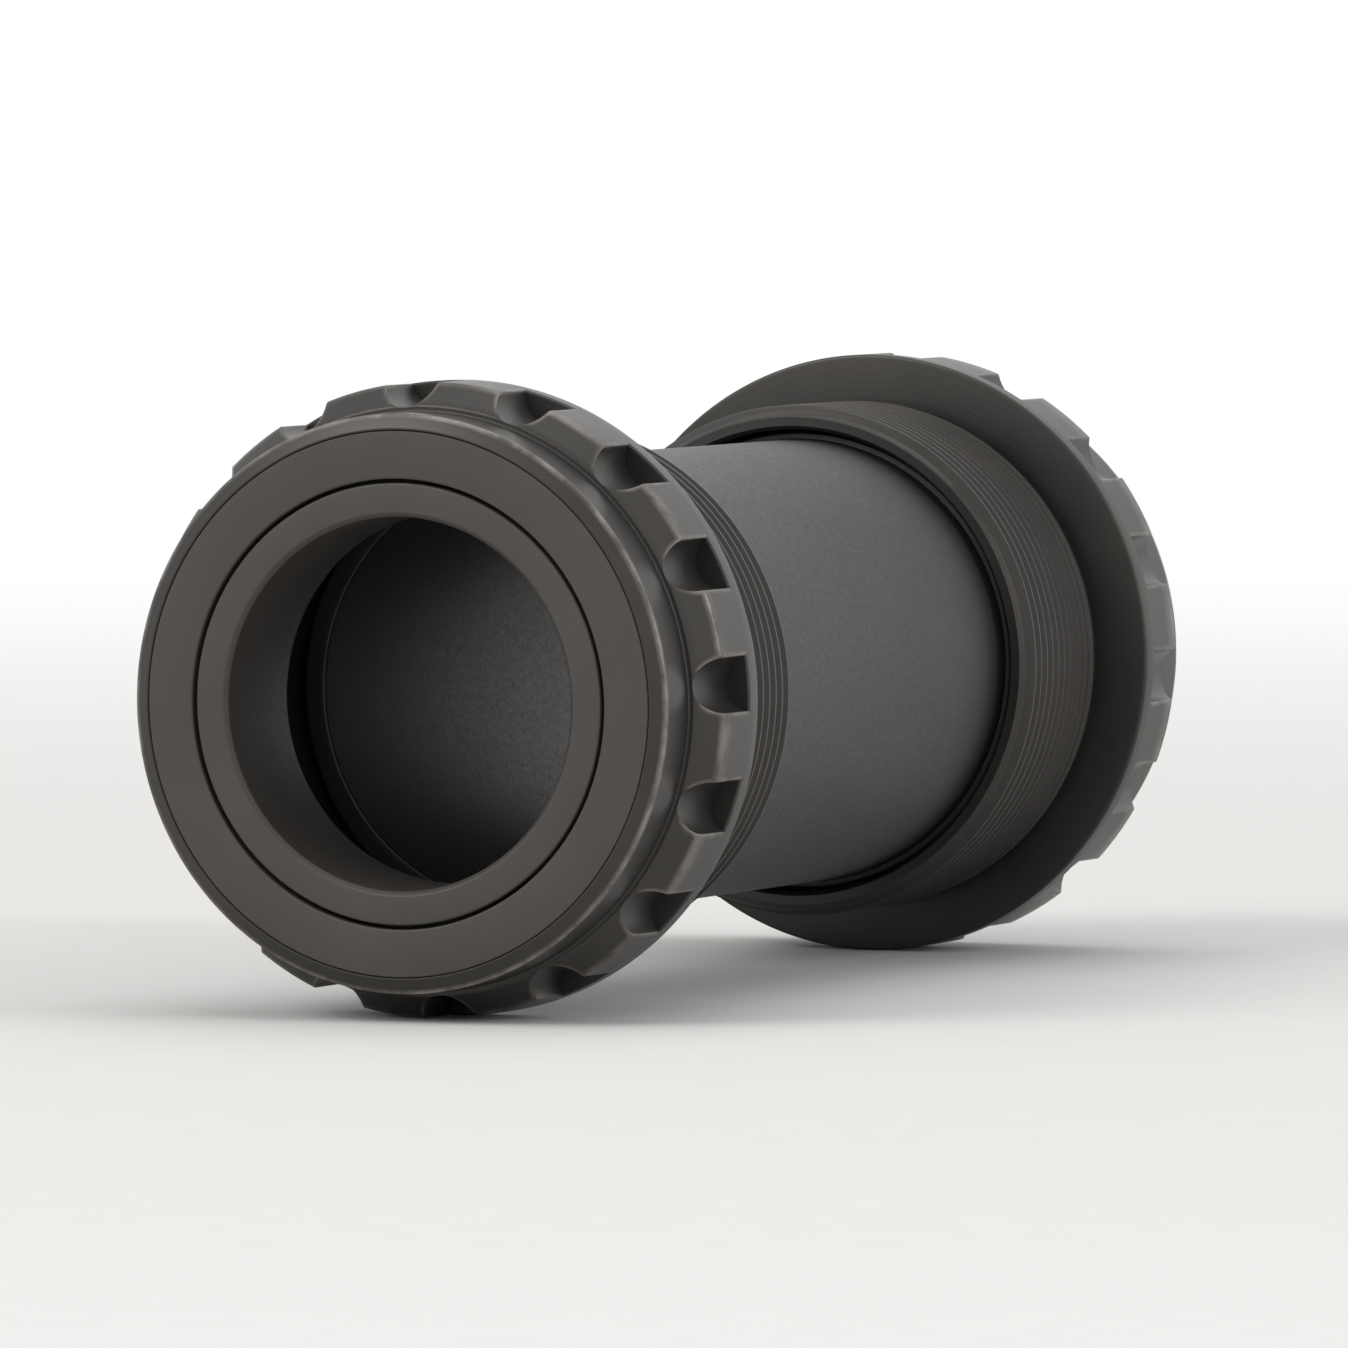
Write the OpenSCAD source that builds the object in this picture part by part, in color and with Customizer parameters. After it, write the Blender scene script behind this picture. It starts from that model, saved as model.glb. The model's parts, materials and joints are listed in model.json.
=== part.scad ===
// Threaded external-cup bottom bracket for a two-piece crank.
// The spindle axis is Y. The drive cup is on -Y, +X points to the front of the bicycle and +Z is up.
// The origin lies on the spindle axis, midway between the two ends of the frame shell.

/* [Frame shell] */
// Width of the frame shell that the two cups clamp
shell_w = 68; // [66:1:100]
// Outer diameter of the cup thread, 1.37 inch by 24 turns per inch
thread_d = 34.8; // [34:0.1:36]
// Length of the threaded skirt from its collar to its end
skirt_l = 13.5; // [12:0.5:18]

/* [Spindle and bushing] */
// Diameter of the crank spindle
spindle_d = 24; // [22:0.5:26]
// Wall of the plastic bushing between the spindle and the bearing
bush_wall = 0.5; // [0.4:0.1:1]
// Outer diameter of the bushing's flange
flange_d = 28.4; // [27.6:0.1:28.8]
// How far the flange stays back from the nose face
flange_back = 0.1; // [0:0.1:0.5]
// Thickness of the flange's thin rim, in front of the lip seal
flange_t = 1.7; // [1.2:0.1:1.8]
// Chamfer at the mouth of the bushing's bore
mouth_chamfer = 0.3; // [0.1:0.1:0.4]

/* [Bearing] */
// Radial height of the bearing, from its bore to its outside
bearing_h = 5; // [4.8:0.1:6]
// Width of the bearing
bearing_w = 7; // [6.4:0.1:8]
// Diameter of one ball
ball_d = 3.175; // [3:0.025:3.3]
// Number of balls
ball_count = 20; // [12:1:22]
// Thickness of each race at its shoulders
race_t = 1.5; // [1.3:0.1:1.6]
// Thickness of the ball cage
cage_t = 1.4; // [1:0.1:1.6]
// Thickness of each bearing seal
seal_t = 0.45; // [0.3:0.05:0.6]

/* [Cup] */
// How far the cup stands out of the frame shell
cup_reach = 11; // [10.5:0.1:14]
// Wall of the nose round the bearing
nose_wall = 1.08; // [0.9:0.02:2]
// Width of the flat rim round the dust cover, inside the nose's bevel
nose_rim = 0.16; // [0.16:0.02:0.6]
// How far the shallow bevel outside that rim drops back
nose_bevel = 0.5; // [0.3:0.1:1]
// Thickness of the full collar against the frame shell
collar_t = 1.5; // [1:0.1:2]
// How far the wrench lugs stand out from the nose
lug_h = 1.9; // [1.5:0.1:3]
// Where the front of the lugs is, from the frame shell
lug_front = 7; // [5:0.1:8]
// Size of the bevel on the front of the lugs
lug_bevel = 1.5; // [0.3:0.1:1.5]
// Number of wrench notches
notch_count = 16; // [8:1:20]
// Width of one half-round notch
notch_w = 3.6; // [3:0.1:4]
// Step left between the bottom of a notch and the nose
notch_step = 0.3; // [0.1:0.05:0.6]
// Angle of the first notch when the cup is tight
cup_turn = 3.75; // [0:0.25:22]
// Wall of the threaded skirt, from the thread's crest to its bore
skirt_wall = 1.65; // [1.2:0.05:2]
// Chamfer where the thread starts
thread_chamfer = 0.8; // [0.4:0.1:1]
// Small chamfer on sharp edges
edge = 0.2; // [0.1:0.05:0.3]

/* [Dust cover and lip seal] */
// Thickness of the dust cover, from the nose face to the bearing
cover_t = 2.3; // [2.2:0.1:3]
// Width of the running gap between the bushing's flange and the cover
cover_gap = 0.25; // [0.15:0.05:0.4]
// Width of the cover's foot, which rests on the outer race
cover_foot = 1; // [0.8:0.1:1.2]
// Clear height under the cover, for the lip seal
cover_relief = 0.8; // [0.7:0.1:1]
// Thickness of the lip seal
lip_t = 0.35; // [0.25:0.05:0.4]
// How far the lip seal reaches under the cover
lip_reach = 0.7; // [0.4:0.1:0.8]

/* [Inner sleeve] */
// How far each end of the sleeve enters a skirt
sleeve_in = 5; // [4:0.5:8]
// Wall of the sleeve between its ends
sleeve_wall = 1.1; // [0.8:0.1:1.2]
// Material under the O-ring groove
groove_floor = 0.8; // [0.6:0.1:1]
// Thickness of the O-rings
oring_d = 1; // [0.8:0.1:1.2]
// Distance from the sleeve's end to the middle of its O-ring
oring_in = 2; // [1.5:0.1:3]

/* [Clearances] */
// Radial clearance of parts that are pressed together
seat_gap = 0.02; // [0.01:0.01:0.05]
// Radial clearance of the balls in their grooves
ball_gap = 0.04; // [0.02:0.01:0.06]
// Clearance of the balls in the cage
cage_gap = 0.1; // [0.08:0.01:0.15]
// Clearance of a bearing seal over the inner race
seal_gap = 0.1; // [0.08:0.01:0.15]
// Radial clearance of the sleeve in the skirt
sleeve_gap = 0.25; // [0.2:0.05:0.4]

/* [Hidden] */
$fn = 96;

// Radii, from the spindle outwards
spindle_r = spindle_d / 2;
bush_r = spindle_r + bush_wall;
inner_bore_r = bush_r + seat_gap;
inner_land_r = inner_bore_r + race_t;
bearing_r = inner_bore_r + bearing_h;
outer_land_r = bearing_r - race_t;
pitch_r = (inner_bore_r + bearing_r) / 2;
ball_r = ball_d / 2;
groove_r = ball_r + ball_gap;
pocket_r = bearing_r + seat_gap;
nose_r = pocket_r + nose_wall;
lug_r = nose_r + lug_h;
notch_r = notch_w / 2;
notch_root_r = nose_r + notch_step;
flange_r = flange_d / 2;
cover_r = flange_r + cover_gap;
thread_r = thread_d / 2;
skirt_bore_r = thread_r - skirt_wall;

// Chamfer on each side of the seam between the cup and its dust cover
fine_edge = edge / 2;

// Heights from the end of the frame shell, outwards
bearing_front = cup_reach - cover_t;
bearing_back = bearing_front - bearing_w;
bearing_mid = bearing_back + bearing_w / 2;
flange_front = cup_reach - flange_back;
lip_front = flange_front - flange_t;
lip_back = lip_front - lip_t;

// Seals, measured from the middle of the bearing
seal_recess = 0.25;
seal_front = bearing_w / 2 - seal_recess;
seal_back = seal_front - seal_t;
seal_seat = 0.2;
seal_r = outer_land_r + seal_seat;
seal_lip_r = inner_land_r + seal_gap;
seal_lip_w = 0.5;
seal_lip_t = 0.3;
race_chamfer = 0.3;

// Bushing hub, which clears the inner seal lip, and its step for the lip seal
hub_r = inner_land_r - seal_gap;
hub_step_r = hub_r - lip_reach;

// Cage, measured from the middle of the bearing: a crown that is open towards the frame
cage_base = 0.7;
cage_front = ball_r + cage_base;
cage_back = 1.4;

// Sleeve
sleeve_half = shell_w / 2 - skirt_l + sleeve_in;
sleeve_end_r = skirt_bore_r - sleeve_gap;
oring_r = skirt_bore_r - oring_d / 2;
oring_slack = 0.01;
groove_bottom_r = skirt_bore_r - oring_d;
groove_play = 0.3;
groove_w = oring_d + groove_play;
sleeve_bore_r = groove_bottom_r - groove_floor;
sleeve_r = sleeve_bore_r + sleeve_wall;
groove_side = 1;
sleeve_land_l = oring_in + groove_w / 2 + groove_side;
oring_y = sleeve_half - oring_in;

// Sides: the drive cup's nose faces -Y and the other cup's nose faces +Y
drive = -1;
non_drive = 1;

// Room beyond a face, so that cuts go right through
past = 1;

// Stands a form built along Z, with Z = 0 at the end of the frame shell, on one side of the shell
module on_side(side) {
  translate([0, side * shell_w / 2, 0]) rotate([-90 * side, 0, 0]) children();
}

// The same, with Z = 0 at the middle of the bearing
module at_bearing(side) {
  on_side(side) translate([0, 0, bearing_mid]) children();
}

// Cup body before the notches are cut: skirt, collar, lug ring, nose and the stepped bore
module cup_profile() {
  polygon([
    [skirt_bore_r + edge, -skirt_l],
    [thread_r - thread_chamfer, -skirt_l],
    [thread_r, thread_chamfer - skirt_l],
    [thread_r, 0],
    [lug_r - edge, 0],
    [lug_r, edge],
    [lug_r, lug_front - lug_bevel],
    [lug_r - lug_bevel, lug_front],
    [nose_r, lug_front],
    [nose_r, cup_reach - nose_bevel],
    [pocket_r + nose_rim, cup_reach],
    [pocket_r + fine_edge, cup_reach],
    [pocket_r, cup_reach - fine_edge],
    [pocket_r, bearing_back],
    [skirt_bore_r, bearing_back],
    [skirt_bore_r, edge - skirt_l]
  ]);
}

module cup(side) {
  color([0.2, 0.2, 0.2]) on_side(side) difference() {
    rotate_extrude() cup_profile();
    for (i = [0 : notch_count - 1])
      rotate([0, 0, cup_turn + i * 360 / notch_count])
        translate([notch_root_r + notch_r, 0, collar_t]) notch();
  }
}

// One half-round notch, open outwards and to the front
module notch() {
  notch_l = lug_front - collar_t + past;
  cylinder(r = notch_r, h = notch_l);
  translate([0, -notch_r, 0]) cube([lug_h + past, notch_w, notch_l]);
}

// Flat cover ring in the mouth of the cup, with a foot on the outer race and a relief for the lip seal
module dust_cover(side) {
  relief = bearing_front + cover_relief;
  rim_r = pocket_r - seat_gap;
  color([0.27, 0.26, 0.25]) on_side(side) rotate_extrude() polygon([
    [cover_r, relief],
    [cover_r, cup_reach - edge],
    [cover_r + edge, cup_reach],
    [rim_r - fine_edge, cup_reach],
    [rim_r, cup_reach - fine_edge],
    [rim_r, bearing_front],
    [rim_r - cover_foot, bearing_front],
    [rim_r - cover_foot, relief]
  ]);
}

// Plastic sleeve between spindle and inner race, with the flange that shows at the nose
module spindle_bushing(side) {
  color([0.26, 0.25, 0.24]) on_side(side) rotate_extrude() polygon([
    [spindle_r, bearing_back],
    [spindle_r, flange_front - mouth_chamfer],
    [spindle_r + mouth_chamfer, flange_front],
    [flange_r - edge, flange_front],
    [flange_r, flange_front - edge],
    [flange_r, lip_front],
    [hub_step_r, lip_front],
    [hub_step_r, bearing_front],
    [bush_r, bearing_front],
    [bush_r, bearing_back]
  ]);
}

// Thin rubber ring behind the flange, which runs under the dust cover
module lip_seal(side) {
  bore_r = hub_step_r + seat_gap;
  tip_r = cover_r + lip_reach;
  color([0.1, 0.1, 0.1]) on_side(side) rotate_extrude() polygon([
    [bore_r, lip_back],
    [bore_r, lip_front],
    [flange_r, lip_front],
    [tip_r, lip_front - lip_t / 2],
    [tip_r, lip_back],
    [flange_r, lip_back]
  ]);
}

module outer_race(side) {
  rebate_r = seal_r + seat_gap;
  end = bearing_w / 2;
  color([0.7, 0.7, 0.72]) at_bearing(side) rotate_extrude() difference() {
    polygon([
      [rebate_r, -end],
      [bearing_r - race_chamfer, -end],
      [bearing_r, race_chamfer - end],
      [bearing_r, end - race_chamfer],
      [bearing_r - race_chamfer, end],
      [rebate_r, end],
      [rebate_r, seal_back],
      [outer_land_r, seal_back],
      [outer_land_r, -seal_back],
      [rebate_r, -seal_back]
    ]);
    translate([pitch_r, 0]) circle(r = groove_r);
  }
}

module inner_race(side) {
  end = bearing_w / 2;
  color([0.7, 0.7, 0.72]) at_bearing(side) rotate_extrude() difference() {
    polygon([
      [inner_bore_r + race_chamfer, -end],
      [inner_land_r, -end],
      [inner_land_r, end],
      [inner_bore_r + race_chamfer, end],
      [inner_bore_r, end - race_chamfer],
      [inner_bore_r, race_chamfer - end]
    ]);
    translate([pitch_r, 0]) circle(r = groove_r);
  }
}

// Places one child at each ball
module each_ball() {
  for (i = [0 : ball_count - 1])
    rotate([0, 0, i * 360 / ball_count]) translate([pitch_r, 0, 0]) children();
}

module bearing_balls(side) {
  color([0.8, 0.8, 0.82]) at_bearing(side) each_ball() sphere(r = ball_r);
}

module ball_cage(side) {
  color([0.75, 0.68, 0.5]) at_bearing(side) difference() {
    rotate_extrude() translate([pitch_r - cage_t / 2, -cage_back]) square([cage_t, cage_back + cage_front]);
    each_ball() sphere(r = ball_r + cage_gap);
  }
}

// Rubber ring in the end of the outer race, with a thinner lip over the inner race
module bearing_seal(side, end) {
  color([0.12, 0.12, 0.12]) at_bearing(side) rotate([end > 0 ? 0 : 180, 0, 0]) rotate_extrude() polygon([
    [seal_lip_r, seal_front - seal_lip_t],
    [seal_lip_r, seal_front],
    [seal_r, seal_front],
    [seal_r, seal_back],
    [seal_lip_r + seal_lip_w, seal_back],
    [seal_lip_r + seal_lip_w, seal_front - seal_lip_t]
  ]);
}

// Thin tube between the cups, with a grooved land at each end
module inner_sleeve() {
  land_y = sleeve_half - sleeve_land_l;
  color([0.15, 0.15, 0.16]) rotate([90, 0, 0]) difference() {
    union() {
      cylinder(r = sleeve_r, h = 2 * sleeve_half, center = true);
      for (s = [drive, non_drive]) translate([0, 0, s * (land_y + sleeve_half) / 2])
        cylinder(r = sleeve_end_r, h = sleeve_land_l, center = true);
    }
    cylinder(r = sleeve_bore_r, h = 2 * (sleeve_half + past), center = true);
    for (s = [drive, non_drive]) translate([0, 0, s * oring_y]) difference() {
      cylinder(r = sleeve_end_r + past, h = groove_w, center = true);
      cylinder(r = groove_bottom_r, h = groove_w + past, center = true);
    }
  }
}

module sleeve_oring(side) {
  color([0.08, 0.08, 0.08]) translate([0, side * oring_y, 0]) rotate([90, 0, 0])
    rotate_extrude() translate([oring_r, 0]) circle(d = oring_d - 2 * oring_slack);
}

cup(drive);  // drive_cup
dust_cover(drive);  // drive_dust_cover
spindle_bushing(drive);  // drive_spindle_bushing
lip_seal(drive);  // drive_lip_seal
outer_race(drive);  // drive_outer_race
inner_race(drive);  // drive_inner_race
bearing_balls(drive);  // drive_bearing_balls
ball_cage(drive);  // drive_ball_cage
bearing_seal(drive, 1);  // drive_outboard_seal
bearing_seal(drive, -1);  // drive_inboard_seal
sleeve_oring(drive);  // drive_sleeve_oring
cup(non_drive);  // non_drive_cup
dust_cover(non_drive);  // non_drive_dust_cover
spindle_bushing(non_drive);  // non_drive_spindle_bushing
lip_seal(non_drive);  // non_drive_lip_seal
outer_race(non_drive);  // non_drive_outer_race
inner_race(non_drive);  // non_drive_inner_race
bearing_balls(non_drive);  // non_drive_bearing_balls
ball_cage(non_drive);  // non_drive_ball_cage
bearing_seal(non_drive, 1);  // non_drive_outboard_seal
bearing_seal(non_drive, -1);  // non_drive_inboard_seal
sleeve_oring(non_drive);  // non_drive_sleeve_oring
inner_sleeve();
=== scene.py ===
"""Looks of a threaded external-cup bottom bracket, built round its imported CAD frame.

The spindle axis is Y. Forms are described by profiles of (radius, height) in millimetres, where height
runs outwards along the axis from the end of the frame shell, and are then placed on either side.
"""

import json
import math

import bmesh
import bpy
from mathutils import Matrix, Vector


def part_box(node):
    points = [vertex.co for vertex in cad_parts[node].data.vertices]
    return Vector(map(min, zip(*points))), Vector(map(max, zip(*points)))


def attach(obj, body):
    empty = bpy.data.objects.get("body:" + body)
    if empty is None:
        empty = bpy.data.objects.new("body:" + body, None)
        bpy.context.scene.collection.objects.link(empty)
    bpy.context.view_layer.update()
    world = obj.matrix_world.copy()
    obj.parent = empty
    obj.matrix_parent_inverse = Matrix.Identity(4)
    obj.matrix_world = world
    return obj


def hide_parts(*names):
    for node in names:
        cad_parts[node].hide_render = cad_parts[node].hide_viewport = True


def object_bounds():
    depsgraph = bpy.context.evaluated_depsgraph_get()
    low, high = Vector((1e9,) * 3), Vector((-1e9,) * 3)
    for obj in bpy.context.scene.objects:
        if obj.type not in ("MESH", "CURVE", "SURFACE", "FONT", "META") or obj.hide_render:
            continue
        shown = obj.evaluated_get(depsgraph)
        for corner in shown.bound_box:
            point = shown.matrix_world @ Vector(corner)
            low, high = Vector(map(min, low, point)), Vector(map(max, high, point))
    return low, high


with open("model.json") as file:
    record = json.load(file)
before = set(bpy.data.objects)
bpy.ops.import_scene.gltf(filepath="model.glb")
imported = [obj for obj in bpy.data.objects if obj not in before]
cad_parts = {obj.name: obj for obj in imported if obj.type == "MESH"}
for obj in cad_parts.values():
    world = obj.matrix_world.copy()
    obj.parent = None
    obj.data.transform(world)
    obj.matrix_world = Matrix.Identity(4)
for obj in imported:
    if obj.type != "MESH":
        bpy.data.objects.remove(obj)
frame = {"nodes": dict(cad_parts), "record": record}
cad_low, cad_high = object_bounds()

MM = 0.001
DRIVE = -1
NON_DRIVE = 1
SIDES = (("drive", DRIVE), ("non_drive", NON_DRIVE))

# Sizes read from the frame, in millimetres
cup_low, cup_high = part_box("drive_cup")
bushing_low, bushing_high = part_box("drive_spindle_bushing")
cover_low, cover_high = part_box("drive_dust_cover")
lip_low, lip_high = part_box("drive_lip_seal")
race_low, race_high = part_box("drive_outer_race")
sleeve_low, sleeve_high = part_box("inner_sleeve")
oring_low, oring_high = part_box("drive_sleeve_oring")

SHELL_HALF = 34.0
NOSE = -cup_low.y / MM - SHELL_HALF
SKIRT_END = -cup_high.y / MM - SHELL_HALF
LUG_R = cup_high.x / MM
FLANGE_FRONT = -bushing_low.y / MM - SHELL_HALF
BUSHING_BACK = -bushing_high.y / MM - SHELL_HALF
FLANGE_R = bushing_high.x / MM
COVER_R = cover_high.x / MM
BEARING_FRONT = -cover_high.y / MM - SHELL_HALF
LIP_FRONT = -lip_low.y / MM - SHELL_HALF
LIP_BACK = -lip_high.y / MM - SHELL_HALF
LIP_TIP_R = lip_high.x / MM
BEARING_BACK = -race_high.y / MM - SHELL_HALF
SLEEVE_HALF = sleeve_high.y / MM
SLEEVE_END_R = sleeve_high.x / MM
ORING_R = oring_high.x / MM
ORING_Y = -(oring_low.y + oring_high.y) / 2 / MM

# Sizes of the cup that its box doesn't give
POCKET_R = COVER_R + 0.02
NOSE_R = LUG_R - 1.9
NOSE_RIM = 0.16
NOSE_BEVEL = 0.5
NOTCHES = 16
NOTCH_R = 1.8
NOTCH_ROOT = NOSE_R + 0.3
NOTCH_FILLET = 0.14
NOTCH_STEP = 0.12
CUP_TURN = math.radians(3.75)
COLLAR_T = 1.5
LUG_FRONT = 7.0
LUG_BEVEL = 1.5
SKIRT_R = 17.4
SKIRT_BORE = 15.75

# Thread of 24 turns per inch: flats and flanks as shares of one turn, and the relief beside the collar
THREAD_PITCH = 25.4 / 24
THREAD_DEPTH = 0.62
THREAD_CREST = 0.08
THREAD_ROOT = 0.44
THREAD_ROWS = 12
THREAD_CHAMFER = 0.8
RELIEF_W = 1.2

# Sizes of the other pieces
SPINDLE_R = 12.0
BUSH_R = 12.5
HUB_R = 13.22
MOUTH_CHAMFER = 0.3
COVER_BORE = FLANGE_R + 0.25
COVER_FOOT = 1.0
COVER_RELIEF = 0.8
SLEEVE_R = 15.05
SLEEVE_BORE = 13.95
GROOVE_R = 14.75
GROOVE_W = 1.3
LAND_L = 3.65

COLUMNS = 256

# Floor and studio, in metres, and the camera at the photograph's viewing angle
FLOOR_NEAR = 0.12
FLOOR_FAR = 0.7
FLOOR_HALF = 4.0
WORLD_STRENGTH = 0.5
CAMERA_AZIMUTH = 23.25
CAMERA_ELEVATION = 2.7
CAMERA_DISTANCE = 1.0
CAMERA_LENS = 400.0


# Materials


def new_material(name):
    material = bpy.data.materials.new(name)
    material.use_nodes = True
    tree = material.node_tree
    return material, tree.nodes, tree.links, tree.nodes["Principled BSDF"]


def add(nodes, kind, **inputs):
    """A shader node with some of its inputs set."""
    node = nodes.new(kind)
    for name, value in inputs.items():
        node.inputs[name.replace("_", " ")].default_value = value
    return node


def object_space(nodes, links, scale=(1, 1, 1)):
    """Object coordinates, which are the row frame in metres, stretched by scale."""
    place = nodes.new("ShaderNodeTexCoord")
    mapping = nodes.new("ShaderNodeMapping")
    mapping.inputs["Scale"].default_value = scale
    links.new(place.outputs["Object"], mapping.inputs["Vector"])
    return mapping.outputs["Vector"]


def ring_space(nodes, links):
    """Distance from the axis and place along it, in which a noise draws rings round the axis."""
    place = nodes.new("ShaderNodeTexCoord")
    split = nodes.new("ShaderNodeSeparateXYZ")
    links.new(place.outputs["Object"], split.inputs[0])
    across = nodes.new("ShaderNodeCombineXYZ")
    links.new(split.outputs["X"], across.inputs["X"])
    links.new(split.outputs["Z"], across.inputs["Y"])
    radius = nodes.new("ShaderNodeVectorMath")
    radius.operation = "LENGTH"
    links.new(across.outputs[0], radius.inputs[0])
    rings = nodes.new("ShaderNodeCombineXYZ")
    links.new(radius.outputs["Value"], rings.inputs["X"])
    links.new(split.outputs["Y"], rings.inputs["Y"])
    return rings.outputs[0]


def noise(nodes, links, vector, scale, detail=3.0, roughness=0.5):
    node = add(nodes, "ShaderNodeTexNoise", Scale=scale, Detail=detail, Roughness=roughness)
    links.new(vector, node.inputs["Vector"])
    return node.outputs["Fac"]


def ramp(nodes, links, fac, stops):
    """A colour ramp from (position, grey or colour) stops."""
    node = nodes.new("ShaderNodeValToRGB")
    elements = node.color_ramp.elements
    while len(elements) < len(stops):
        elements.new(0.5)
    for element, (position, value) in zip(elements, stops):
        element.position = position
        colour = (value,) * 3 if isinstance(value, float) else value
        element.color = (*colour, 1.0)
    links.new(fac, node.inputs["Fac"])
    return node.outputs["Color"]


def mix(nodes, links, fac, first, second, blend="MIX"):
    """Mixes two colours, each a socket or an RGB value, by a factor."""
    node = nodes.new("ShaderNodeMix")
    node.data_type = "RGBA"
    node.blend_type = blend
    for socket, value in ((node.inputs[0], fac), (node.inputs[6], first), (node.inputs[7], second)):
        if isinstance(value, bpy.types.NodeSocket):
            links.new(value, socket)
        elif isinstance(value, (int, float)):
            socket.default_value = value
        else:
            socket.default_value = (*value, 1.0)
    return node.outputs[2]


def bump(nodes, links, height, strength, distance, shader):
    node = add(nodes, "ShaderNodeBump", Strength=strength, Distance=distance)
    links.new(height, node.inputs["Height"])
    links.new(node.outputs["Normal"], shader.inputs["Normal"])


def anodised(name, dark, light, edge_wear_and_highlight, roughness):
    """Black anodised aluminium: faint turning marks and grain, and paler colour along the edges that is
    partly wear and partly a painted highlight.
    """
    material, nodes, links, shader = new_material(name)
    vector = object_space(nodes, links)
    cloud = noise(nodes, links, vector, 90.0, 4.0)
    marks = noise(nodes, links, ring_space(nodes, links), 2600.0, 3.0, 0.6)
    colour = ramp(nodes, links, cloud, ((0.3, dark), (0.7, light)))
    wear_and_highlight = nodes.new("ShaderNodeAttribute")
    wear_and_highlight.attribute_name = "wear_and_highlight"
    scuff = noise(nodes, links, vector, 420.0, 5.0, 0.65)
    patches = ramp(nodes, links, scuff, ((0.4, 0.25), (0.62, 1.0)))
    # Paler colour on the marked edges, broken into patches: partly edge wear and partly a painted highlight.
    amount = mix(nodes, links, 1.0, wear_and_highlight.outputs["Color"], patches, "MULTIPLY")
    links.new(mix(nodes, links, amount, colour, edge_wear_and_highlight), shader.inputs["Base Color"])
    rough = ramp(nodes, links, cloud, ((0.25, roughness - 0.05), (0.75, roughness + 0.07)))
    links.new(rough, shader.inputs["Roughness"])
    shader.inputs["Metallic"].default_value = 0.55
    shader.inputs["Coat Weight"].default_value = 0.15
    shader.inputs["Coat Roughness"].default_value = 0.3
    bump(nodes, links, marks, 0.5, 0.00003, shader)
    return material


def moulded(name, dark, light, roughness, grain_size, grain_depth):
    """Moulded plastic with a fine spark-eroded grain and slight cloudiness."""
    material, nodes, links, shader = new_material(name)
    vector = object_space(nodes, links)
    cloud = noise(nodes, links, vector, 130.0, 4.0)
    grain = noise(nodes, links, vector, grain_size, 3.0, 0.6)
    links.new(ramp(nodes, links, cloud, ((0.3, dark), (0.7, light))), shader.inputs["Base Color"])
    rough = ramp(nodes, links, grain, ((0.3, roughness - 0.06), (0.7, roughness + 0.06)))
    links.new(rough, shader.inputs["Roughness"])
    bump(nodes, links, grain, 0.5, grain_depth, shader)
    return material


def rubber(name, colour):
    material, nodes, links, shader = new_material(name)
    vector = object_space(nodes, links)
    grain = noise(nodes, links, vector, 1500.0, 3.0)
    paler = tuple(1.6 * c for c in colour)
    links.new(ramp(nodes, links, grain, ((0.35, colour), (0.75, paler))), shader.inputs["Base Color"])
    links.new(ramp(nodes, links, grain, ((0.3, 0.55), (0.7, 0.72))), shader.inputs["Roughness"])
    bump(nodes, links, grain, 0.3, 0.00002, shader)
    return material


def steel(name, colour, roughness, stretch):
    """Ground bearing steel, with fine lines round the axis where stretch is high."""
    material, nodes, links, shader = new_material(name)
    vector = object_space(nodes, links, (1.0, stretch, 1.0))
    lines = noise(nodes, links, vector, 700.0, 4.0)
    paler = tuple(min(1.0, 1.12 * c) for c in colour)
    links.new(ramp(nodes, links, lines, ((0.3, colour), (0.7, paler))), shader.inputs["Base Color"])
    rough = ramp(nodes, links, lines, ((0.3, roughness), (0.7, roughness + 0.1)))
    links.new(rough, shader.inputs["Roughness"])
    shader.inputs["Metallic"].default_value = 1.0
    bump(nodes, links, lines, 0.1, 0.00001, shader)
    return material


# Cup colours: dark and light tones at random, and a paler edge colour that is partly edge wear and partly a
# painted highlight on the nose rim and notch edges.
CUP_DARK, CUP_LIGHT, CUP_WORN_AND_HIGHLIT = (0.032, 0.029, 0.026), (0.046, 0.042, 0.038), (0.3, 0.28, 0.26)
COVER_DARK, COVER_LIGHT = (0.046, 0.041, 0.036), (0.056, 0.05, 0.045)
BUSHING_DARK, BUSHING_LIGHT = (0.048, 0.042, 0.037), (0.057, 0.051, 0.046)
SLEEVE_DARK, SLEEVE_LIGHT = (0.017, 0.017, 0.018), (0.022, 0.022, 0.023)
NYLON_DARK, NYLON_LIGHT = (0.5, 0.42, 0.26), (0.58, 0.49, 0.31)

MATERIALS = {
    "cup_aluminium": anodised("cup_anodised", CUP_DARK, CUP_LIGHT, CUP_WORN_AND_HIGHLIT, 0.36),
    "cover_plastic": moulded("cover_plastic", COVER_DARK, COVER_LIGHT, 0.52, 3600.0, 0.00001),
    "bushing_plastic": moulded("bushing_plastic", BUSHING_DARK, BUSHING_LIGHT, 0.48, 4200.0, 0.00001),
    "seal_rubber": rubber("seal_rubber", (0.012, 0.012, 0.012)),
    "oring_rubber": rubber("oring_rubber", (0.01, 0.01, 0.01)),
    "race_steel": steel("race_steel", (0.5, 0.5, 0.51), 0.22, 12.0),
    "ball_steel": steel("ball_steel", (0.62, 0.62, 0.63), 0.08, 1.0),
    "cage_nylon": moulded("cage_nylon", NYLON_DARK, NYLON_LIGHT, 0.5, 1800.0, 0.00001),
    "sleeve_plastic": moulded("sleeve_plastic", SLEEVE_DARK, SLEEVE_LIGHT, 0.46, 3000.0, 0.000006),
}


# Mesh helpers


def arc(centre, radius, start, end, steps):
    """Points along an arc, by angle in degrees."""
    turns = [math.radians(start + (end - start) * i / steps) for i in range(steps + 1)]
    return [(centre[0] + radius * math.cos(t), centre[1] + radius * math.sin(t)) for t in turns]


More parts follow.
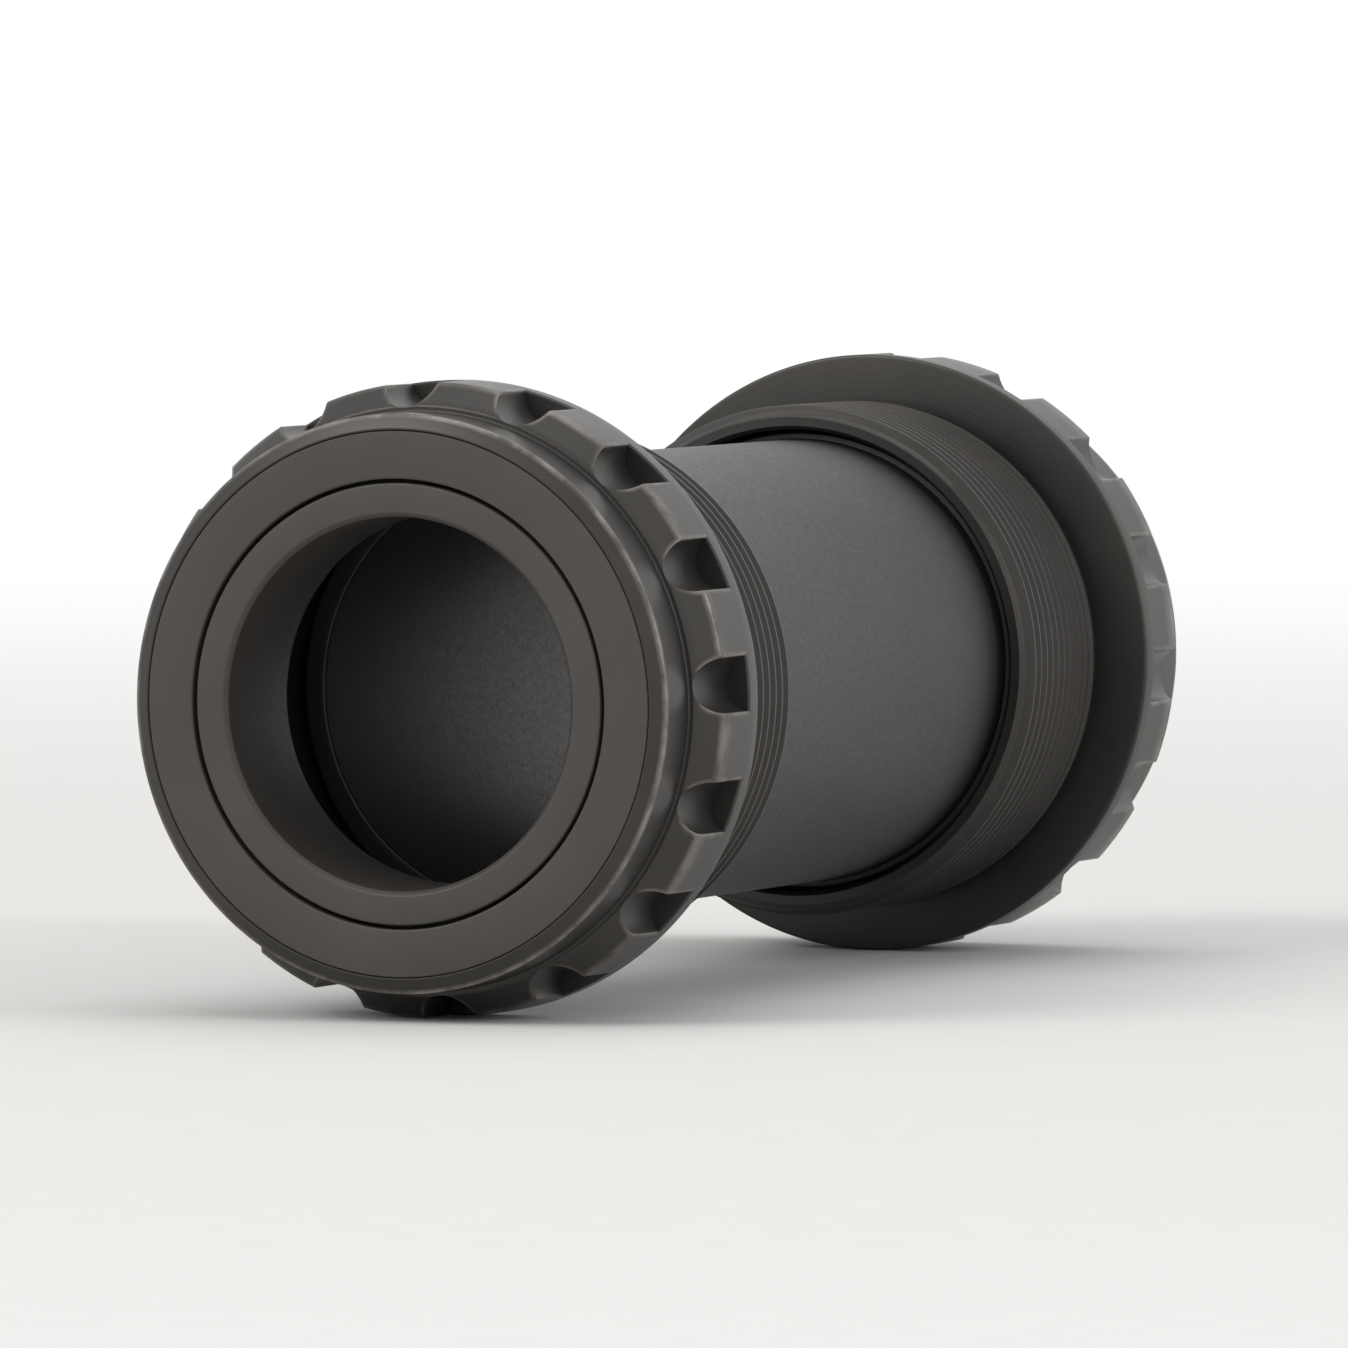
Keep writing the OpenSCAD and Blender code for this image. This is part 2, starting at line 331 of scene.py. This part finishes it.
def rounded(points, steps=4):
    """A closed profile of (radius, height, fillet) corners, with each fillet drawn as an arc."""
    result = []
    count = len(points)
    for i, (x, y, fillet) in enumerate(points):
        here = Vector((x, y))
        before = (Vector(points[i - 1][:2]) - here).normalized()
        after = (Vector(points[(i + 1) % count][:2]) - here).normalized()
        if fillet <= 0:
            result.append((x, y))
            continue
        half = before.angle(after) / 2
        reach = fillet / math.tan(half)
        centre = here + (before + after).normalized() * (fillet / math.sin(half))
        first = here + before * reach - centre
        last = here + after * reach - centre
        swing = first.angle_signed(last)
        for k in range(steps + 1):
            turn = -swing * k / steps
            result.append(tuple(centre + Matrix.Rotation(turn, 2) @ first))
    return result


def place(point, height, side):
    """A point in the row frame, from an (x, z) point in a ring's plane and a height on that side."""
    return Vector((point[0], side * (SHELL_HALF + height), point[1])) * MM


def finish_mesh(name, bm, smooth_angle=35.0):
    bmesh.ops.remove_doubles(bm, verts=bm.verts, dist=1e-7)
    bmesh.ops.dissolve_degenerate(bm, edges=bm.edges, dist=1e-8)
    bmesh.ops.recalc_face_normals(bm, faces=bm.faces)
    limit = math.radians(smooth_angle)
    for edge in bm.edges:
        edge.smooth = len(edge.link_faces) == 2 and edge.calc_face_angle(math.pi) < limit
    for face in bm.faces:
        face.smooth = True
    mesh = bpy.data.meshes.new(name)
    bm.to_mesh(mesh)
    bm.free()
    piece = bpy.data.objects.new(name, mesh)
    bpy.context.scene.collection.objects.link(piece)
    return piece


def skin(bm, rings, closed=True):
    """Faces between rings of vertices, each ring closed, and the last joined to the first if closed."""
    count = len(rings[0])
    pairs = list(zip(rings, rings[1:] + rings[:1])) if closed else list(zip(rings, rings[1:]))
    for lower, upper in pairs:
        for i in range(count):
            j = (i + 1) % count
            bm.faces.new((lower[i], lower[j], upper[j], upper[i]))


def circle(radius, count=COLUMNS):
    turns = [2 * math.pi * i / count for i in range(count)]
    return [(radius * math.cos(t), radius * math.sin(t)) for t in turns]


def lathe(name, profile, side, count=COLUMNS):
    """A closed profile of (radius, height) turned round the axis."""
    bm = bmesh.new()
    rings = []
    for radius, height in profile:
        rings.append([bm.verts.new(place(point, height, side)) for point in circle(radius, count)])
    skin(bm, rings)
    return finish_mesh(name, bm)


def dress(piece, node, slot):
    """Puts a piece in place of its CAD node, with the material of its slot."""
    piece.data.materials.append(MATERIALS[slot])
    body = next(b for b, nodes in frame["record"]["behaviour"]["bodies"].items() if node in nodes)
    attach(piece, body)
    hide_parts(node)
    return piece


# Cup: one skin of rings, whose outline follows the lugs and notches where the profile crosses them

NOTCH_STEPS = 14
FILLET_STEPS = 4
LUG_STEPS = 10
PERIOD = 2 * math.pi / NOTCHES
NOTCH_CENTRE = NOTCH_ROOT + NOTCH_R


def notch_period(radius):
    """One period of the outline at a radius, from the notch's root to its neighbour's: (angle, radius)."""
    depth = radius - NOTCH_ROOT
    fillet = min(NOTCH_FILLET, depth * 0.4)
    inner = radius - fillet
    reach = NOTCH_R + fillet
    cos_turn = (inner**2 + NOTCH_CENTRE**2 - reach**2) / (2 * inner * NOTCH_CENTRE)
    turn = math.acos(min(1.0, cos_turn))
    centre = Vector((inner * math.cos(turn), inner * math.sin(turn)))
    hub = Vector((NOTCH_CENTRE, 0))
    towards = (centre - hub).normalized()
    wall_turn = math.atan2(towards.y, -towards.x)
    half = []
    for i in range(NOTCH_STEPS + 1):
        t = wall_turn * i / NOTCH_STEPS
        half.append((NOTCH_CENTRE - NOTCH_R * math.cos(t), NOTCH_R * math.sin(t)))
    start = math.atan2(-towards.y, -towards.x)
    swing = (turn - start + math.pi) % (2 * math.pi) - math.pi
    for i in range(1, FILLET_STEPS + 1):
        t = start + swing * i / FILLET_STEPS
        half.append((centre.x + fillet * math.cos(t), centre.y + fillet * math.sin(t)))
    polar = [(math.atan2(y, x), math.hypot(x, y)) for x, y in half]
    lug = [(turn + (PERIOD / 2 - turn) * i / LUG_STEPS, radius) for i in range(1, LUG_STEPS + 1)]
    polar += lug
    mirrored = [(PERIOD - angle, r) for angle, r in reversed(polar[1:-1])]
    return polar + mirrored


FULL_PERIOD = notch_period(LUG_R)


def outline(radius, kind):
    """Points round the cup at a radius. Kind is plain for a circle, notched, or lip for a circle that
    steps in by NOTCH_STEP over the notches."""
    if kind == "notched" and radius > NOTCH_ROOT + 0.01:
        period = notch_period(radius)
    elif kind == "lip":
        period = [(a, LUG_R if r > LUG_R - 0.01 else LUG_R - NOTCH_STEP) for a, r in FULL_PERIOD]
    else:
        period = [(a, radius) for a, _ in FULL_PERIOD]
    points = []
    for k in range(NOTCHES):
        for angle, r in period:
            turn = CUP_TURN + k * PERIOD + angle
            points.append((r * math.cos(turn), r * math.sin(turn)))
    return points


def cup_outer():
    """Rings of the cup from the relief at the collar, over the lugs and the nose, to the skirt's end."""
    rings = [(SKIRT_R - THREAD_DEPTH, 0.0, "plain")]
    rings += [(LUG_R - 0.2, 0.0, "plain")]
    rings += [(x, y, "plain") for x, y in arc((LUG_R - 0.2, 0.2), 0.2, -60, 0, 3)]
    rings += [(LUG_R, COLLAR_T - NOTCH_STEP, "plain"), (LUG_R, COLLAR_T, "lip"), (LUG_R, COLLAR_T, "notched")]
    corner = LUG_FRONT - LUG_BEVEL
    rings += [(LUG_R, corner - 1.6, "notched"), (LUG_R, corner - 0.12, "notched")]
    rings += [(LUG_R - 0.03, corner, "notched")]
    steps = 6
    last = LUG_R - LUG_BEVEL
    for i in range(steps + 1):
        share = (0.1 + 1.3 * i / steps) / LUG_BEVEL
        rings.append((LUG_R - LUG_BEVEL * share, corner + LUG_BEVEL * share, "notched"))
    rings += [(last, LUG_FRONT - 0.03, "notched"), (last - 0.09, LUG_FRONT, "notched")]
    rings += [(NOTCH_ROOT, LUG_FRONT, "plain"), (NOSE_R + 0.1, LUG_FRONT, "plain")]
    rings += [(x, y, "plain") for x, y in arc((NOSE_R + 0.1, LUG_FRONT + 0.1), 0.1, -90, -180, 3)]
    rim = NOSE - NOSE_BEVEL
    bevel_w = NOSE_R - POCKET_R - NOSE_RIM
    front = rounded(
        [
            (NOSE_R, LUG_FRONT + 0.2, 0),
            (NOSE_R, rim - 0.4, 0),
            (NOSE_R, rim, 0.1),
            (NOSE_R - bevel_w / 3, rim + NOSE_BEVEL / 3, 0),
            (POCKET_R + NOSE_RIM, NOSE, 0.06),
            (POCKET_R + 0.06, NOSE, 0.03),
            (POCKET_R, NOSE - 0.1, 0.02),
            (POCKET_R, BEARING_BACK, 0),
            (SKIRT_BORE, BEARING_BACK, 0.15),
            (SKIRT_BORE, SKIRT_END + 0.25, 0.1),
            (SKIRT_BORE + 0.25, SKIRT_END, 0),
        ]
    )
    rings += [(x, y, "plain") for x, y in front]
    return rings


def thread_radius(phase, height):
    """Radius of the threaded skirt at a phase of the thread's turn, 0 on the crest and 0.5 at the root."""
    away = min(phase, 1 - phase)
    share = min(1.0, max(0.0, (away - THREAD_CREST) / (THREAD_ROOT - THREAD_CREST)))
    start = SKIRT_R - THREAD_CHAMFER + (height - SKIRT_END)
    runout = SKIRT_R - THREAD_DEPTH - height - RELIEF_W
    return min(SKIRT_R - THREAD_DEPTH * share, start, max(runout, SKIRT_R - THREAD_DEPTH))


def thread_rows(bm, side, columns):
    """The helical skin of the skirt. The helix climbs along the columns, one pitch in a turn."""
    low, high = SKIRT_END, 0.0
    turns = (high - low) / THREAD_PITCH
    first, last = -THREAD_ROWS - 1, math.ceil(turns * THREAD_ROWS) + 2
    count = len(columns)
    grid = {}
    for j in range(first, last + 1):
        for i, angle in enumerate(columns):
            height = low + THREAD_PITCH * (j / THREAD_ROWS + i / count)
            height = min(high, max(low, height))
            phase = (height - low) / THREAD_PITCH - i / count
            radius = thread_radius(phase % 1.0, height)
            point = (radius * math.cos(angle), radius * math.sin(angle))
            grid[i, j] = bm.verts.new(place(point, height, side))
    for j in range(first, last):
        for i in range(count - 1):
            bm.faces.new((grid[i, j], grid[i + 1, j], grid[i + 1, j + 1], grid[i, j + 1]))
        near = min(j + THREAD_ROWS, last)
        far = min(j + 1 + THREAD_ROWS, last)
        if near != far:
            bm.faces.new((grid[count - 1, j], grid[0, near], grid[0, far], grid[count - 1, j + 1]))
        else:
            bm.faces.new((grid[count - 1, j], grid[0, near], grid[count - 1, j + 1]))
    return [grid[i, last] for i in range(count)], [grid[i, first] for i in range(count)]


def paint_edge_wear_and_highlight(piece, hand):
    """Marks the cup's convex edges for paler colour, in a colour attribute that the material reads: partly
    edge wear and partly a painted highlight.
    """
    mesh = piece.data
    layer = mesh.color_attributes.new("wear_and_highlight", "FLOAT_COLOR", "POINT")
    corner = LUG_FRONT - LUG_BEVEL
    for vertex, value in zip(mesh.vertices, layer.data):
        radius = math.hypot(vertex.co.x, vertex.co.z) / MM
        height = abs(vertex.co.y) / MM - SHELL_HALF
        rim = radius > NOSE_R - 0.15 and abs(height - NOSE + NOSE_BEVEL) < 0.12
        lug_edge = radius > LUG_R - 0.2 and abs(height - corner) < 0.16
        on_lug = COLLAR_T < height <= LUG_FRONT and radius > NOTCH_ROOT + 0.15
        lug_side = on_lug and in_fillet(math.atan2(vertex.co.z * hand, vertex.co.x), radius)
        # Strongest on the nose rim and weaker on the lug edges; in both places the paler colour is partly
        # wear and partly a painted highlight.
        amount = 0.8 if rim else 0.5 if lug_edge or lug_side else 0.0
        value.color = (amount, amount, amount, 1.0)


def in_fillet(angle, radius):
    """Whether a point of the lug ring is near the edge between a lug and its notch."""
    turn = (angle - CUP_TURN + PERIOD / 2) % PERIOD - PERIOD / 2
    x, y = radius * math.cos(turn), radius * math.sin(turn)
    return 0.01 < math.hypot(x - NOTCH_CENTRE, y) - NOTCH_R < NOTCH_FILLET


def build_cup(name, side):
    """A whole cup. The drive side's thread is left-handed, so there the helix climbs the other way."""
    bm = bmesh.new()
    hand = -side
    rings = []
    for radius, height, kind in cup_outer():
        points = outline(radius, kind)
        rings.append([bm.verts.new(place((x, z * hand), height, side)) for x, z in points])
    columns = [math.atan2(z * hand, x) for x, z in outline(LUG_R, "plain")]
    if side == DRIVE:
        columns.reverse()
    thread_top, thread_bottom = thread_rows(bm, side, columns)
    if side == DRIVE:
        thread_top.reverse()
        thread_bottom.reverse()
    skin(bm, rings + [thread_bottom], closed=False)
    skin(bm, [thread_top, rings[0]], closed=False)
    piece = finish_mesh(name, bm, 32.0)
    paint_edge_wear_and_highlight(piece, hand)
    return piece


# Other pieces


def build_cover(name, side):
    relief = BEARING_FRONT + COVER_RELIEF
    profile = rounded(
        [
            (COVER_BORE, relief, 0.1),
            (COVER_BORE, NOSE, 0.14),
            (COVER_R, NOSE, 0.08),
            (COVER_R, BEARING_FRONT, 0.05),
            (COVER_R - COVER_FOOT, BEARING_FRONT, 0.05),
            (COVER_R - COVER_FOOT, relief, 0.05),
        ]
    )
    return lathe(name, profile, side)


def build_bushing(name, side):
    profile = rounded(
        [
            (SPINDLE_R, BUSHING_BACK, 0.05),
            (SPINDLE_R, FLANGE_FRONT - MOUTH_CHAMFER, 0.2),
            (SPINDLE_R + MOUTH_CHAMFER, FLANGE_FRONT, 0.2),
            (FLANGE_R, FLANGE_FRONT, 0.16),
            (FLANGE_R, LIP_FRONT, 0.05),
            (HUB_R, LIP_FRONT, 0),
            (HUB_R, BEARING_FRONT, 0.05),
            (BUSH_R, BEARING_FRONT, 0),
            (BUSH_R, BUSHING_BACK, 0.05),
        ]
    )
    return lathe(name, profile, side)


def build_lip(name, side):
    middle = (LIP_FRONT + LIP_BACK) / 2
    profile = rounded(
        [
            (HUB_R + 0.02, LIP_BACK, 0),
            (HUB_R + 0.02, LIP_FRONT, 0),
            (FLANGE_R, LIP_FRONT, 0),
            (LIP_TIP_R, middle, 0.04),
            (LIP_TIP_R, LIP_BACK, 0.04),
        ]
    )
    return lathe(name, profile, side)


def build_sleeve(name):
    """The sleeve is turned about its middle, so its heights are measured from there."""
    middle = -SHELL_HALF
    groove = (ORING_Y - GROOVE_W / 2, ORING_Y + GROOVE_W / 2)
    half = [
        (SLEEVE_R, SLEEVE_HALF - LAND_L, 0.1),
        (SLEEVE_END_R, SLEEVE_HALF - LAND_L, 0.12),
        (SLEEVE_END_R, groove[0], 0.06),
        (GROOVE_R, groove[0], 0.08),
        (GROOVE_R, groove[1], 0.08),
        (SLEEVE_END_R, groove[1], 0.06),
        (SLEEVE_END_R, SLEEVE_HALF, 0.3),
        (SLEEVE_BORE, SLEEVE_HALF, 0.2),
    ]
    other = [(r, -y, fillet) for r, y, fillet in reversed(half)]
    profile = [(r, y + middle) for r, y in rounded(half + other)]
    return lathe(name, profile, NON_DRIVE)


def build_oring(name, side):
    section = (ORING_R - GROOVE_R) / 2 - 0.005
    height = ORING_Y - SHELL_HALF
    profile = arc((ORING_R - section, height), section, 0, 345, 23)
    return lathe(name, profile, side)


for word, side in SIDES:
    dress(build_cup(f"{word}_threaded_cup", side), f"{word}_cup", "cup_aluminium")
    dress(build_cover(f"{word}_cover_ring", side), f"{word}_dust_cover", "cover_plastic")
    dress(build_bushing(f"{word}_flanged_bushing", side), f"{word}_spindle_bushing", "bushing_plastic")
    dress(build_lip(f"{word}_lip_ring", side), f"{word}_lip_seal", "seal_rubber")
    dress(build_oring(f"{word}_oring", side), f"{word}_sleeve_oring", "oring_rubber")
dress(build_sleeve("sleeve_tube"), "inner_sleeve", "sleeve_plastic")

# CAD nodes that stay, with a better finish
slots = {row["node"]: row["material_slot"] for row in frame["record"]["subparts"]}
for node, piece in frame["nodes"].items():
    piece.data.materials.clear()
    piece.data.materials.append(MATERIALS[slots[node]])
    for face in piece.data.polygons:
        face.material_index = 0


# Stage


def build_paper():
    """Pale matte paper, which the camera, mirrors and glass see turn white towards the horizon."""
    material, nodes, links, shader = new_material("floor_paper")
    vector = object_space(nodes, links)
    fibre = noise(nodes, links, vector, 300.0, 4.0)
    colour = ramp(nodes, links, fibre, ((0.3, (0.87, 0.867, 0.86)), (0.7, (0.885, 0.882, 0.875))))
    links.new(colour, shader.inputs["Base Color"])
    shader.inputs["Roughness"].default_value = 0.9
    shader.inputs["Specular IOR Level"].default_value = 0.1
    distance = nodes.new("ShaderNodeVectorMath")
    distance.operation = "LENGTH"
    links.new(vector, distance.inputs[0])
    fade = nodes.new("ShaderNodeMapRange")
    fade.interpolation_type = "SMOOTHSTEP"
    fade.inputs["From Min"].default_value = FLOOR_NEAR
    fade.inputs["From Max"].default_value = FLOOR_FAR
    links.new(distance.outputs["Value"], fade.inputs["Value"])
    amount = nodes.new("ShaderNodeMath")
    amount.operation = "MULTIPLY"
    links.new(fade.outputs["Result"], amount.inputs[0])
    links.new(seen_directly(nodes, links), amount.inputs[1])
    white = add(nodes, "ShaderNodeEmission", Strength=1.0)
    blend = nodes.new("ShaderNodeMixShader")
    links.new(amount.outputs[0], blend.inputs[0])
    links.new(shader.outputs[0], blend.inputs[1])
    links.new(white.outputs[0], blend.inputs[2])
    links.new(blend.outputs[0], nodes["Material Output"].inputs["Surface"])
    return material


def seen_directly(nodes, links):
    """1 for the rays that a camera, a mirror or glass sends out, 0 for those that carry light."""
    path = nodes.new("ShaderNodeLightPath")
    highest = path.outputs["Is Camera Ray"]
    for kind in ("Is Glossy Ray", "Is Transmission Ray"):
        larger = nodes.new("ShaderNodeMath")
        larger.operation = "MAXIMUM"
        links.new(highest, larger.inputs[0])
        links.new(path.outputs[kind], larger.inputs[1])
        highest = larger.outputs[0]
    return highest


def build_floor():
    bm = bmesh.new()
    corners = ((-1, -1), (1, -1), (1, 1), (-1, 1))
    bm.faces.new([bm.verts.new((x * FLOOR_HALF, y * FLOOR_HALF, cad_low.z)) for x, y in corners])
    mesh = bpy.data.meshes.new("floor")
    bm.to_mesh(mesh)
    bm.free()
    floor = bpy.data.objects.new("floor", mesh)
    bpy.context.scene.collection.objects.link(floor)
    mesh.materials.append(build_paper())


def build_world():
    """A soft grey studio that lights the object, and that the camera, mirrors and glass see as white."""
    world = bpy.data.worlds.new("studio")
    bpy.context.scene.world = world
    world.use_nodes = True
    nodes, links = world.node_tree.nodes, world.node_tree.links
    nodes.clear()
    soft = add(nodes, "ShaderNodeBackground", Color=(1.0, 0.985, 0.97, 1.0), Strength=WORLD_STRENGTH)
    white = add(nodes, "ShaderNodeBackground", Color=(1.0, 1.0, 1.0, 1.0), Strength=1.0)
    blend = nodes.new("ShaderNodeMixShader")
    output = nodes.new("ShaderNodeOutputWorld")
    links.new(seen_directly(nodes, links), blend.inputs[0])
    links.new(soft.outputs[0], blend.inputs[1])
    links.new(white.outputs[0], blend.inputs[2])
    links.new(blend.outputs[0], output.inputs["Surface"])


def area_light(name, position, size, energy, colour=(1, 1, 1)):
    """A soft lamp that faces the origin."""
    data = bpy.data.lights.new(name, "AREA")
    data.shape = "RECTANGLE"
    data.size, data.size_y = size
    data.energy = energy
    data.color = colour
    lamp = bpy.data.objects.new(name, data)
    bpy.context.scene.collection.objects.link(lamp)
    lamp.location = position
    lamp.rotation_euler = (-Vector(position)).to_track_quat("-Z", "Y").to_euler()


def build_lights():
    area_light("key", (-0.75, -1.1, 1.0), (0.8, 0.8), 9.0, (1.0, 0.985, 0.96))
    area_light("side", (1.3, 0.1, 0.5), (0.35, 0.9), 5.0, (1.0, 0.99, 0.98))
    area_light("top", (0.1, 0.2, 1.4), (1.2, 1.2), 4.5)


def build_camera():
    data = bpy.data.cameras.new("camera")
    data.lens = CAMERA_LENS
    data.clip_start = 0.01
    data.clip_end = 50.0
    camera = bpy.data.objects.new("camera", data)
    bpy.context.scene.collection.objects.link(camera)
    azimuth, elevation = math.radians(CAMERA_AZIMUTH), math.radians(CAMERA_ELEVATION)
    level = math.cos(elevation)
    direction = Vector((math.sin(azimuth) * level, -math.cos(azimuth) * level, math.sin(elevation)))
    camera.location = direction * CAMERA_DISTANCE
    camera.rotation_euler = direction.to_track_quat("Z", "Y").to_euler()
    bpy.context.scene.camera = camera


build_floor()
build_world()
build_lights()
build_camera()
bpy.context.scene.view_settings.view_transform = "Standard"
